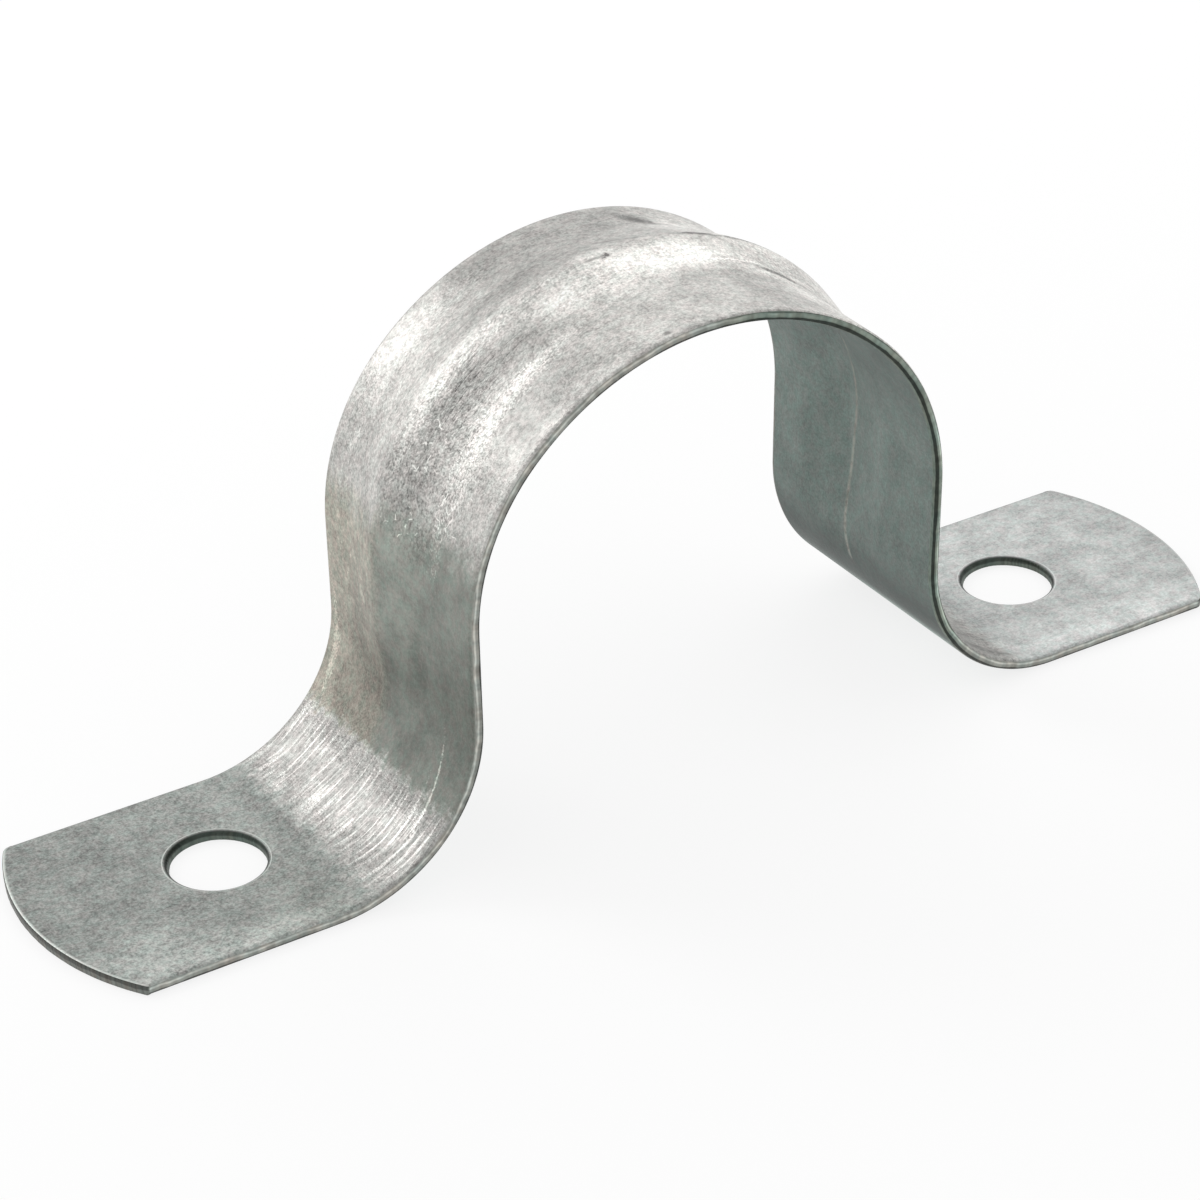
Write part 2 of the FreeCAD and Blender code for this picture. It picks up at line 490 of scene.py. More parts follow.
def new_tree(name, kind, inputs, outputs):
    """An empty node group. An input is named with its start value, or with its socket type."""
    tree = bpy.data.node_groups.new(name, kind)
    for label, start in inputs.items():
        if isinstance(start, str):
            tree.interface.new_socket(name=label, in_out="INPUT", socket_type=start)
        else:
            socket = tree.interface.new_socket(name=label, in_out="INPUT", socket_type=FLOAT)
            socket.default_value = start
    for label, socket_type in outputs.items():
        tree.interface.new_socket(name=label, in_out="OUTPUT", socket_type=socket_type)
    bench = Bench(tree)
    return bench, bench.add("NodeGroupInput").outputs, bench.add("NodeGroupOutput").inputs


def travelled_in(bench, given):
    """How far along its own run a point lies: none before the run and all of it past the run."""
    past_start = bench.math("MAXIMUM", bench.minus(given["Distance"], given["Start"]), 0.0)
    return bench.math("MINIMUM", past_start, given["Length"])


def rolled_run_tree():
    """One run of the strip rolled to a radius: how far it carries the strip, and how far it turns it."""
    bench, given, result = new_tree("Rolled run", "GeometryNodeTree", {
        "Distance": 0.0,
        "Start": 0.0,
        "Length": 0.01,
        "Start angle": 0.0,
        "Radius": 0.02,
    }, {"Shift": VECTOR, "Turn": FLOAT})
    travelled = travelled_in(bench, given)
    turn = bench.over(travelled, given["Radius"])
    angle = bench.plus(given["Start angle"], turn)
    sines = bench.minus(bench.math("SINE", angle), bench.math("SINE", given["Start angle"]))
    cosines = bench.minus(bench.math("COSINE", angle), bench.math("COSINE", given["Start angle"]))
    reach = bench.times(given["Radius"], sines)
    rise = bench.times(given["Radius"], cosines)
    bench.feed(result["Shift"], bench.combine(reach, 0.0, rise))
    bench.feed(result["Turn"], turn)
    return bench.tree


def straight_run_tree():
    """One straight run of the strip: how far it carries the strip."""
    bench, given, result = new_tree("Straight run", "GeometryNodeTree", {
        "Distance": 0.0,
        "Start": 0.0,
        "Length": 0.01,
        "Angle": 0.0,
    }, {"Shift": VECTOR})
    travelled = travelled_in(bench, given)
    reach = bench.times(travelled, bench.math("COSINE", given["Angle"]))
    fall = bench.times(travelled, bench.math("SINE", given["Angle"]))
    bench.feed(result["Shift"], bench.combine(reach, 0.0, bench.times(fall, -1.0)))
    return bench.tree


def pressed_rib_tree():
    """The pressed rib: a rounded V across the strip that fades into the legs."""
    bench, given, result = new_tree("Pressed rib", "GeometryNodeTree", {
        "Along": 0.0,
        "Across": 0.0,
        "Height": 0.001,
        "Half width": 0.005,
        "Offset": 0.001,
        "Crest radius": 0.002,
        "Root rounding": 0.0001,
        "Full until": 0.03,
        "Gone at": 0.04,
    }, {"Rise": FLOAT})
    slope = bench.over(given["Height"], bench.minus(given["Half width"], 0.0002))
    round_off = bench.times(given["Crest radius"], slope)
    apart = bench.minus(given["Across"], given["Offset"])
    squares = bench.plus(bench.times(apart, apart), bench.times(round_off, round_off))
    rounded = bench.minus(bench.math("SQRT", squares), round_off)
    flank = bench.minus(given["Height"], bench.times(slope, rounded))
    root_square = bench.times(given["Root rounding"], given["Root rounding"])
    blend = bench.math("SQRT", bench.plus(bench.times(flank, flank), root_square))
    section = bench.times(bench.plus(flank, blend), 0.5)
    faded = bench.ramp(given["Along"], given["Full until"], given["Gone at"])
    bench.feed(result["Rise"], bench.times(section, bench.minus(1.0, faded)))
    return bench.tree


FORMING_LENGTHS = {
    "Top of the crown": CREST_Z - RIB_HEIGHT - SHEET / 2,
    "Crown radius": CROWN_RADIUS + SHEET / 2,
    "Crown length": RUNS["crown_end"],
    "Shoulder radius": SHOULDER_RADIUS + SHEET / 2,
    "Shoulder length": RUNS["arch_end"] - RUNS["crown_end"],
    "Leg length": RUNS["leg"],
    "Foot bend radius": FOOT_BEND_RADIUS + SHEET / 2,
    "Foot bend length": RUNS["foot_start"] - RUNS["bend_start"],
    "Foot length": LONGEST_FOOT,
    "Rib height": RIB_HEIGHT,
    "Rib half width": RIB_HALF_WIDTH,
    "Rib offset": RIB_OFFSET,
    "Rib crest radius": RIB_CREST_RADIUS,
    "Rib root rounding": RIB_ROOT_ROUNDING,
    "Rib full until": RIB_FULL_UNTIL,
    "Rib gone at": RIB_GONE_AT,
    "Hand set": HAND_SET,
}
FORMING = {name: length * MM for name, length in FORMING_LENGTHS.items()}
FORMING.update({"Crown angle": CROWN_HALF_ANGLE, "Arch angle": ARCH_END_ANGLE})


def forming_tree():
    """Folds the flat blank over the arch, the legs and the feet, and presses the rib into it."""
    bench, given, result = new_tree("Strap forming", "GeometryNodeTree", {
        "Geometry": GEOMETRY,
        **FORMING,
        "Sheet face": MATERIAL,
        "Cut face": MATERIAL,
    }, {"Geometry": GEOMETRY})
    along, across, depth = bench.parts(bench.add("GeometryNodeInputPosition").outputs[0])
    flat_place = bench.combine(along, across, 0.0)
    distance = bench.math("ABSOLUTE", along)
    hand = bench.math("SIGN", along)

    rolled = rolled_run_tree()
    straight = straight_run_tree()
    crown = bench.group(rolled, Distance=distance, Length=given["Crown length"], Radius=given["Crown radius"])
    shoulder_start = given["Crown length"]
    shoulder = bench.group(
        rolled, Distance=distance, Start=shoulder_start, Length=given["Shoulder length"],
        Start_angle=given["Crown angle"], Radius=given["Shoulder radius"])
    leg_start = bench.plus(shoulder_start, given["Shoulder length"])
    leg = bench.group(
        straight, Distance=distance, Start=leg_start, Length=given["Leg length"], Angle=given["Arch angle"])
    bend_start = bench.plus(leg_start, given["Leg length"])
    bend = bench.group(
        rolled, Distance=distance, Start=bend_start, Length=given["Foot bend length"],
        Start_angle=given["Arch angle"], Radius=bench.times(given["Foot bend radius"], -1.0))
    foot_start = bench.plus(bend_start, given["Foot bend length"])
    foot = bench.group(straight, Distance=distance, Start=foot_start, Length=given["Foot length"], Angle=0.0)
    place = crown["Shift"]
    for run in (shoulder, leg, bend, foot):
        place = bench.vector("ADD", place, run["Shift"])
    turn = bench.plus(bench.plus(crown["Turn"], shoulder["Turn"]), bend["Turn"])

    rib = bench.group(
        pressed_rib_tree(), Along=distance, Across=across, Height=given["Rib height"],
        Half_width=given["Rib half width"], Offset=given["Rib offset"],
        Crest_radius=given["Rib crest radius"], Root_rounding=given["Rib root rounding"],
        Full_until=given["Rib full until"], Gone_at=given["Rib gone at"])
    uneven = bench.noise(flat_place, 160.0, Detail=1.0)
    low_spots = bench.times(uneven[0], bench.ramp(distance, foot_start, bend_start))
    off_middle = bench.plus(depth, rib["Rise"])
    off_middle = bench.minus(off_middle, bench.times(low_spots, given["Hand set"]))
    reach = bench.times(bench.math("SINE", turn), off_middle)
    rise = bench.times(bench.math("COSINE", turn), off_middle)
    place = bench.vector("ADD", place, bench.combine(reach, across, rise))
    place = bench.vector("ADD", place, bench.combine(0.0, 0.0, given["Top of the crown"]))
    place = bench.vector("MULTIPLY", place, bench.combine(hand, 1.0, 1.0))

    keep = "GeometryNodeStoreNamedAttribute"
    sheet = bench.step(keep, given["Geometry"], {"Name": "strip_run", "Value": flat_place},
                       data_type="FLOAT2", domain="CORNER")
    sheet = bench.step(keep, sheet, {"Name": "sheet_depth", "Value": bench.over(depth, MM)},
                       data_type="FLOAT", domain="POINT")
    sheet = bench.step("GeometryNodeSetPosition", sheet, {"Position": place})
    sheet = bench.step("GeometryNodeSetShadeSmooth", sheet)
    sheet = bench.step("GeometryNodeRealizeInstances", sheet)
    sheet = bench.step("GeometryNodeSetMaterial", sheet, {"Material": given["Sheet face"]})
    cut = bench.named("GeometryNodeInputNamedAttribute", {"Name": "cut_edge"}, data_type="INT")[0]
    sheet = bench.step("GeometryNodeSetMaterial", sheet, {"Selection": cut, "Material": given["Cut face"]})
    bench.feed(result["Geometry"], sheet)
    return bench.tree


# ---------------- finishes

def zinc_mottle_tree():
    """The mottle of hot-dipped sheet: fine grain, small blotches, soft clouds and a faint change of hue."""
    bench, given, result = new_tree("Zinc mottle", "ShaderNodeTree", {
        "Strip": VECTOR,
        "Grain size": 0.15,
        "Blotch size": 0.4,
        "Cloud size": 2.2,
        "Stretch": 1.3,
    }, {"Grain": FLOAT, "Blotch": FLOAT, "Cloud": FLOAT, "Hue": FLOAT})
    drawn = bench.combine(bench.over(1.0, given["Stretch"]), 1.0, 1.0)
    place = bench.vector("MULTIPLY", given["Strip"], drawn)
    layers = (
        ("Grain", given["Grain size"], 1.0, 0.6, 0.0, 0.25, 0.75),
        ("Blotch", given["Blotch size"], 3.0, 0.6, 9.0, 0.3, 0.7),
        ("Cloud", given["Cloud size"], 2.0, 0.5, 23.0, 0.3, 0.7),
        ("Hue", bench.times(given["Cloud size"], 0.35), 5.0, 0.7, 41.0, 0.36, 0.64),
    )
    for name, size, detail, rough, shift, low, high in layers:
        shifted = bench.vector("ADD", place, (shift, shift * 0.7, 0.0))
        noise = bench.noise(shifted, bench.over(1.0, size), Detail=detail, Roughness=rough)
        bench.feed(result[name], bench.ramp(noise[0], low, high))
    return bench.tree


def drawn_streaks_tree():
    """Fine marks drawn along the strip by the press tools."""
    bench, given, result = new_tree("Drawn streaks", "ShaderNodeTree", {
        "Strip": VECTOR,
        "Length": 4.0,
        "Width": 0.2,
        "Cover": 0.4,
        "Wander": 0.3,
    }, {"Streak": FLOAT})
    sway = bench.noise(bench.vector("MULTIPLY", given["Strip"], (0.14, 0.14, 1.0)), 1.0, Detail=1.0)
    shifted = bench.times(bench.minus(sway[0], 0.5), given["Wander"])
    place = bench.vector("ADD", given["Strip"], bench.combine(0.0, shifted, 0.0))
    along = bench.over(1.0, given["Length"])
    across = bench.over(1.0, given["Width"])
    noise = bench.noise(bench.vector("MULTIPLY", place, bench.combine(along, across, 1.0)), 0.5, Detail=2.0)
    low = bench.minus(0.72, bench.times(given["Cover"], 0.35))
    high = bench.plus(low, 0.16)
    bench.feed(result["Streak"], bench.ramp(noise[0], low, high))
    return bench.tree


def rubbed_patch_tree():
    """A patch of the sheet with ragged edges: where it lies, how large it is and how it is turned."""
    bench, given, result = new_tree("Rubbed patch", "ShaderNodeTree", {
        "Strip": VECTOR,
        "Along": 0.0,
        "Across": 0.0,
        "Half length": 5.0,
        "Half width": 1.0,
        "Turn": 0.0,
        "Softness": 0.4,
        "Ragged": 0.0,
    }, {"Patch": FLOAT})
    centre = bench.combine(given["Along"], given["Across"], 0.0)
    moved = bench.vector("SUBTRACT", given["Strip"], centre)
    angle = bench.times(given["Turn"], -math.pi / 180)
    turned = bench.named("ShaderNodeVectorRotate", {"Vector": moved, "Angle": angle}, rotation_type="Z_AXIS")
    halves = bench.combine(given["Half length"], given["Half width"], 1.0)
    fitted = bench.vector("DIVIDE", turned[0], halves)
    reach = bench.named("ShaderNodeVectorMath", {0: fitted}, operation="LENGTH")["Value"]
    ragged = bench.plus(reach, given["Ragged"])
    inner = bench.minus(1.0, given["Softness"])
    outer = bench.plus(1.0, given["Softness"])
    bench.feed(result["Patch"], bench.ramp(ragged, outer, inner))
    return bench.tree


def across_band_tree():
    """A band that crosses the whole strip, between two distances along it."""
    bench, given, result = new_tree("Cross band", "ShaderNodeTree", {
        "Distance": 0.0,
        "Start": 20.0,
        "End": 30.0,
        "Start softness": 1.0,
        "End softness": 1.0,
    }, {"Band": FLOAT})
    before = bench.minus(given["Start"], given["Start softness"])
    after = bench.plus(given["Start"], given["Start softness"])
    rising = bench.ramp(given["Distance"], before, after)
    before = bench.plus(given["End"], given["End softness"])
    after = bench.minus(given["End"], given["End softness"])
    falling = bench.ramp(given["Distance"], before, after)
    bench.feed(result["Band"], bench.times(rising, falling))
    return bench.tree


ZINC_MOTTLE = zinc_mottle_tree()
DRAWN_STREAKS = drawn_streaks_tree()
RUBBED_PATCH = rubbed_patch_tree()
CROSS_BAND = across_band_tree()


class Finish(Bench):
    """A bench for one metal finish: it knows where a point lies on the flat strip and in the sheet."""

    def __init__(self, name, grain_size, blotch_size, cloud_size, stretch):
        self.material = bpy.data.materials.new(name)
        self.material.use_nodes = True
        super().__init__(self.material.node_tree)
        self.shader = self.tree.nodes["Principled BSDF"]
        self.shader.inputs["Metallic"].default_value = 1.0
        self.strip = self.scaled(self.add("ShaderNodeUVMap", uv_map="strip_run").outputs[0], 1 / MM)
        self.along, self.across, _ = self.parts(self.strip)
        self.distance = self.math("ABSOLUTE", self.along)
        self.depth = self.attribute("sheet_depth")
        self.sheared = self.attribute("sheared")
        mottle = self.group(
            ZINC_MOTTLE, Strip=self.strip, Grain_size=grain_size, Blotch_size=blotch_size,
            Cloud_size=cloud_size, Stretch=stretch)
        self.grain, self.blotch, self.cloud, self.hue = mottle[:4]

    def streaks(self, length, width, cover, wander=0.3):
        values = {"Length": length, "Width": width, "Cover": cover, "Wander": wander}
        return self.group(DRAWN_STREAKS, Strip=self.strip, **values)["Streak"]

    def patch(self, ragged, along, across, half_length, half_width, turn, softness):
        return self.group(
            RUBBED_PATCH, Strip=self.strip, Along=along, Across=across, Half_length=half_length,
            Half_width=half_width, Turn=turn, Softness=softness, Ragged=ragged)["Patch"]

    def band(self, distance, start, end, start_softness, end_softness):
        return self.group(
            CROSS_BAND, Distance=distance, Start=start, End=end, Start_softness=start_softness,
            End_softness=end_softness)["Band"]

    def paint(self, shade, tone):
        self.feed(self.shader.inputs["Base Color"], self.scaled(shade, tone))


# Places on the flat strip, in millimetres: along, across, half length, half width, turn in degrees,
# softness, how bright the zinc is there, and how much of that shows. Most zones paint light and shade
# into the colour: the bright ones are painted highlights on the flanks, bands, shoulders and feet, the
# dark ones painted shade on the flanks, bands, roots, leg and foot bend.
OUTER_ZONES = [
    # partly a rub, partly a painted highlight on the right shoulder, which faces the lamps
    ("right shoulder rub and painted highlight", 16.0, -1.0, 7.0, 11.0, 0.0, 0.35, 0.73, 0.85),
    ("near flank above the crown", -1.2, -1.1, 8.0, 1.9, 0.0, 0.7, 0.88, 0.9),
    ("far flank", -5.0, 3.5, 9.5, 1.8, 0.0, 0.5, 0.36, 0.8),
    ("far band", -3.5, 8.2, 9.5, 2.8, 0.0, 0.5, 0.35, 0.85),
    ("far band at the crown", 1.2, 7.9, 3.6, 2.6, 0.0, 0.7, 0.31, 0.75),
    ("near band past the crown", 2.5, -6.8, 6.5, 4.0, 0.0, 0.5, 0.43, 0.8),
    ("near band at the left shoulder", -13.0, -6.6, 4.6, 3.4, 0.0, 0.5, 0.36, 0.9),
    ("far flank past the crown", 8.6, 4.6, 3.6, 2.8, 0.0, 0.5, 0.72, 0.8),
    ("top of the rib", 1.0, 1.8, 2.6, 1.0, 0.0, 0.7, 0.4, 0.7),
    ("middle of the leg", -29.5, -0.9, 7.0, 2.6, 0.0, 0.5, 0.38, 0.85),
    ("lower end of the leg", -42.5, 5.0, 2.4, 2.4, 0.0, 0.7, 0.33, 0.7),
    ("start of the bend", -45.6, -4.2, 1.4, 2.6, 0.0, 0.6, 0.3, 0.8),
    ("far root shade", -13.0, 6.6, 6.0, 0.7, -5.0, 0.7, 0.38, 0.6),
    ("far root shade, upper end", -5.0, 5.2, 3.6, 0.7, -20.0, 0.7, 0.36, 0.6),
    ("near root shade", 2.5, -3.9, 7.5, 0.6, 2.0, 0.8, 0.44, 0.5),
    # painted shade on the near flank
    ("near flank in painted shade", -14.5, -1.3, 6.0, 1.3, -5.0, 0.4, 0.38, 0.85),
    ("far shoulder", -19.5, 3.6, 3.8, 1.9, 0.0, 0.6, 0.62, 0.6),
    ("near side of the foot bend", -48.0, -9.4, 4.6, 2.0, 0.0, 0.5, 0.28, 0.85),
    ("near edge of the left foot", -60.0, -9.8, 9.0, 1.6, 0.0, 0.7, 0.47, 0.85),
    ("near corner of the left foot", -68.0, -7.6, 3.8, 3.0, 0.0, 0.8, 0.41, 0.8),
    ("near edge of the right foot", 62.0, -9.8, 9.0, 3.0, 0.0, 0.8, 0.56, 0.8),
    ("far side of the right foot", 60.0, 6.6, 8.0, 3.4, 0.0, 0.8, 0.45, 0.9),
    ("tip of the right foot", 67.5, -2.0, 2.6, 7.0, 0.0, 0.6, 0.45, 0.7),
]
# Rubs and scratches, with painted highlights: the crest line is a painted highlight, and the near root and
# far band rubs are partly wear and partly painted highlights.
OUTER_RUBS_AND_HIGHLIGHTS = [
    ("near root rub and painted highlight", -17.3, -4.7, 6.6, 0.75, 2.5, 0.5, 0.64, 0.65),
    ("near root rub and painted highlight, upper end", -8.0, -3.6, 5.5, 0.35, 8.0, 0.6, 0.64, 0.7),
    ("painted crest highlight", -11.5, 0.75, 8.2, 0.34, 0.0, 0.6, 0.7, 0.85),
    ("painted crest highlight, lower end", -18.8, 0.85, 2.6, 0.3, 0.0, 0.6, 0.66, 0.7),
    ("far band rub and painted highlight", -17.5, 7.7, 6.2, 1.1, 0.0, 0.5, 0.57, 0.5),
    ("pale line past the crown", 7.2, -1.7, 2.4, 0.1, 0.0, 0.5, 0.95, 0.7),
    ("far edge of the leg", -40.0, 9.0, 3.4, 0.3, 5.0, 0.5, 0.6, 0.9),
    ("fleck beside the far band", -22.6, 7.7, 1.1, 0.3, -18.0, 0.5, 0.66, 0.9),
    ("hooked scratch", -22.4, -5.4, 1.4, 0.15, -26.0, 0.5, 0.75, 0.9),
    ("hooked scratch, tail", -20.9, -5.9, 0.6, 0.1, -10.0, 0.5, 0.75, 0.8),
    ("long rub, outer", -44.0, -7.25, 3.6, 0.09, 9.7, 0.5, 0.66, 0.9),
    ("long rub, inner", -46.3, -6.55, 2.4, 0.08, 7.0, 0.5, 0.62, 0.8),
]
# Where the curled scratches lie: along, across, half length, half width, turn and softness.
SCRATCHED = [
    (-19.6, -0.9, 2.4, 1.9, 30.0, 0.3),
    (-22.8, -5.3, 1.9, 1.7, 0.0, 0.3),
    (-25.2, -1.2, 1.6, 1.4, 0.0, 0.3),
]
OUTER_SMUDGES = [
    ("pit on the crest", -1.7, 0.77, 0.36, 0.22, 10.0, 0.6, 0.13, 0.95),
    ("tail of the pit", -2.5, 0.85, 0.7, 0.1, -6.0, 0.6, 0.26, 0.7),
    ("smear behind the pit", -0.5, 2.7, 1.5, 0.22, -25.0, 0.8, 0.27, 0.7),
    ("far smudge", 4.7, 7.2, 1.6, 0.6, -50.0, 0.8, 0.13, 0.95),
    ("smudge in the right bend", 48.4, -8.5, 2.8, 0.45, -8.0, 0.8, 0.2, 0.8),
    ("near edge speck", -3.5, -9.48, 0.3, 0.2, 0.0, 0.6, 0.18, 0.8),
    ("crest line past the crown", 5.9, 1.5, 1.4, 0.2, -6.0, 0.6, 0.16, 0.9),
    ("crest line at the right shoulder", 10.6, 1.6, 2.2, 0.24, 4.0, 0.6, 0.14, 0.9),
    ("mark on the near flank", 11.0, -2.6, 1.9, 0.22, -14.0, 0.7, 0.17, 0.9),
]


# How bright the zinc is, away from the places above: on the crown, at the upper and lower end of the
# leg's near and far half, along the leg's far edge, on the foot bends and on the feet. These tones
# carry painted shade: the legs are painted darker than the crown, and the left foot darker than the right.
CROWN_TONE = 0.535
NEAR_LEG_TONES = (0.3, 0.265)
FAR_LEG_TONES = (0.4, 0.27)
LEG_EDGE_TONE = 0.41
BEND_TONE = 0.33
RIGHT_FOOT_TONE = 0.385
LEFT_FOOT_TONES = (0.32, 0.28)
SCRATCH_TONE = 0.95
FLANK_STREAKS_PLACE = (-12.0, -1.4, 10.5, 1.9, 0.0, 0.5)
NEAR_SCUFFS_PLACE = (-19.5, -2.4, 6.5, 4.2, 0.0, 0.4)
FAR_SCUFFS_PLACE = (-20.5, 6.0, 6.0, 4.0, 0.0, 0.4)
LEG_FLECKS_PLACE = (-30.0, 5.5, 8.0, 4.6, 12.0, 0.5)

# The inner face, from the crown out: distance at which each tone begins and is reached, and the tone.
# These tones are painted shade, darkest low down the inner leg.
INNER_CROWN_TONE = 0.215
INNER_TONES = ((22.0, 27.0, 0.25), (32.0, 37.0, 0.225), (38.0, 42.5, 0.115))


def find_places(zinc):
    """Marks out the crown, the legs, the foot bends and the feet, with uneven borders."""
    zinc.fray = zinc.noise(zinc.strip, 0.9, Detail=6.0, Roughness=0.7)[0]
    zinc.ragged = zinc.minus(zinc.fray, 0.5)
    zinc.left = zinc.ramp(zinc.along, 1.0, -1.0)
    zinc.far_side = zinc.ramp(
        zinc.across, zinc.mix(-6.0, 0.2, zinc.left), zinc.mix(9.0, 2.2, zinc.left))
    wavy = zinc.plus(zinc.distance, zinc.times(zinc.ragged, 5.0))
    upper_wavy = zinc.minus(wavy, zinc.times(zinc.far_side, 2.2))
    leg_top = zinc.ramp(upper_wavy, zinc.mix(20.0, 22.6, zinc.left), zinc.mix(32.0, 26.6, zinc.left))
    leg_foot = zinc.ramp(wavy, 45.0, zinc.mix(41.4, 43.8, zinc.left))
    zinc.on_leg = zinc.times(leg_top, leg_foot)
    zinc.on_bend = zinc.band(wavy, 44.8, 51.8, zinc.mix(2.4, 0.7, zinc.left), 1.1)
    zinc.on_foot = zinc.ramp(wavy, 50.7, 52.9)
    zinc.inside = zinc.ramp(zinc.depth, -0.1, -0.2)


def outer_tone(zinc):
    """How bright the zinc is over the outer face, before its mottle: painted shade down the legs and on the
    left foot, and the zones' painted highlights and painted shade.
    """
    lower = zinc.ramp(zinc.distance, 28.0, 39.0)
    leg = zinc.mix(zinc.mix(*NEAR_LEG_TONES, lower), zinc.mix(*FAR_LEG_TONES, lower), zinc.far_side)
    leg = zinc.mix(leg, LEG_EDGE_TONE, zinc.ramp(zinc.across, 5.0, 8.6))
    left_foot = zinc.mix(*LEFT_FOOT_TONES, zinc.ramp(zinc.distance, 55.0, 66.0))
    tone = zinc.mix(CROWN_TONE, leg, zinc.on_leg)
    tone = zinc.mix(tone, BEND_TONE, zinc.on_bend)
    tone = zinc.mix(tone, zinc.mix(RIGHT_FOOT_TONE, left_foot, zinc.left), zinc.on_foot)
    soft = zinc.times(zinc.ragged, 1.2)
    rough = zinc.plus(zinc.times(zinc.ragged, 2.6), zinc.minus(0.5, zinc.grain))
    for places, edge in ((OUTER_ZONES, soft), (OUTER_RUBS_AND_HIGHLIGHTS + OUTER_SMUDGES, rough)):
        for _, *place, bright, strength in places:
            tone = zinc.mix(tone, bright, zinc.times(zinc.patch(edge, *place), strength))
    return tone


def curled_scratches(zinc):
    """Short curled scratches, each a thin line between wandering cells."""
    sway = zinc.noise(zinc.strip, 0.9, Detail=1.0)["Color"]
    moved = zinc.vector("ADD", zinc.strip, zinc.vector("MULTIPLY", sway, (1.6, 1.6, 0.0)))
    cells = zinc.named("ShaderNodeTexVoronoi", {"Vector": moved, "Scale": 0.65},
                       feature="DISTANCE_TO_EDGE", voronoi_dimensions="2D")
    line = zinc.ramp(cells[0], 0.05, 0.02)
    gaps = zinc.noise(zinc.strip, 1.3)[0]
    scratched = 0.0
    for place in SCRATCHED:
        scratched = zinc.math("MAXIMUM", scratched, zinc.patch(zinc.ragged, *place))
    return zinc.times(zinc.times(line, zinc.ramp(gaps, 0.5, 0.56)), scratched)


def outer_contrast(zinc):
    """How strong the mottle is over the outer face."""
    contrast = zinc.mix(0.42, zinc.mix(0.2, 0.4, zinc.far_side), zinc.on_leg)
    contrast = zinc.mix(contrast, zinc.mix(0.3, 0.5, zinc.left), zinc.on_foot)
    contrast = zinc.mix(contrast, 0.5, zinc.on_bend)
    contrast = zinc.mix(contrast, 0.62, zinc.patch(zinc.ragged, *NEAR_SCUFFS_PLACE))
    return zinc.mix(contrast, 0.44, zinc.patch(zinc.ragged, *FAR_SCUFFS_PLACE))


def crease_line(zinc):
    """The thin bright line along the rib's crease inside, a painted highlight, a little crooked."""
    sway = zinc.times(zinc.math("SINE", zinc.times(zinc.along, 0.32)), 0.35)
    off_crease = zinc.math("ABSOLUTE", zinc.minus(zinc.plus(zinc.across, sway), 1.0))
    return zinc.times(zinc.ramp(off_crease, 0.3, 0.04), zinc.band(zinc.distance, 18.0, 41.5, 3.0, 1.0))


def inner_tone(zinc, speckle, small, wide, crease):
    """How bright the zinc is over the inner face: painted shade, with painted light on the inner foot bend
    and a painted highlight along the crease.
    """
    tone = INNER_CROWN_TONE
    for start, end, bright in INNER_TONES:
        tone = zinc.mix(tone, bright, zinc.ramp(zinc.distance, start, end))
    # painted light on the inner foot bend, brighter on the near side
    inner_bend_painted_light = zinc.mix(0.5, 0.24, zinc.ramp(zinc.across, -3.0, 8.0))
    tone = zinc.mix(tone, inner_bend_painted_light, zinc.ramp(zinc.distance, 43.4, 46.0))
    tone = zinc.mix(tone, 0.3, zinc.ramp(zinc.distance, 49.5, 51.5))
    uneven = zinc.plus(zinc.times(speckle, 0.3), zinc.times(small, 0.2))
    uneven = zinc.plus(uneven, zinc.times(wide, 0.6))
    tone = zinc.times(tone, zinc.plus(uneven, 1.0))
    # the painted highlight along the inner crease
    return zinc.mix(tone, 0.34, zinc.times(crease, zinc.ramp(zinc.fray, 0.42, 0.56)))


def zinc_hue(zinc, crease):
    """The hue of each part of the sheet, then flecked a little green and pink."""
    right_foot = zinc.minus(zinc.on_foot, zinc.times(zinc.on_foot, zinc.left))
    shade = (1.02, 1.0, 0.965, 1.0)
    for colour, mask in (
        ((0.95, 1.0, 0.91, 1.0), zinc.on_leg),
        ((1.045, 1.0, 0.87, 1.0), zinc.times(zinc.on_leg, zinc.far_side)),
        ((0.955, 1.0, 0.955, 1.0), zinc.on_foot),
        ((0.975, 1.0, 0.985, 1.0), right_foot),
        ((0.84, 1.0, 0.93, 1.0), zinc.inside),
        ((0.98, 1.0, 0.9, 1.0), zinc.times(crease, zinc.inside)),
    ):
        shade = zinc.mix_colour(shade, colour, mask)
    vivid = zinc.math("MAXIMUM", zinc.on_leg, zinc.inside)
    vivid = zinc.math("MAXIMUM", vivid, zinc.times(zinc.on_foot, 0.5))
    hue = zinc.mix(0.5, zinc.hue, zinc.mix(0.4, 1.0, vivid))
    flecks = zinc.mix_colour((0.945, 1.02, 1.0, 1.0), (1.05, 0.98, 0.985, 1.0), hue)
    return zinc.vector("MULTIPLY", shade, flecks)


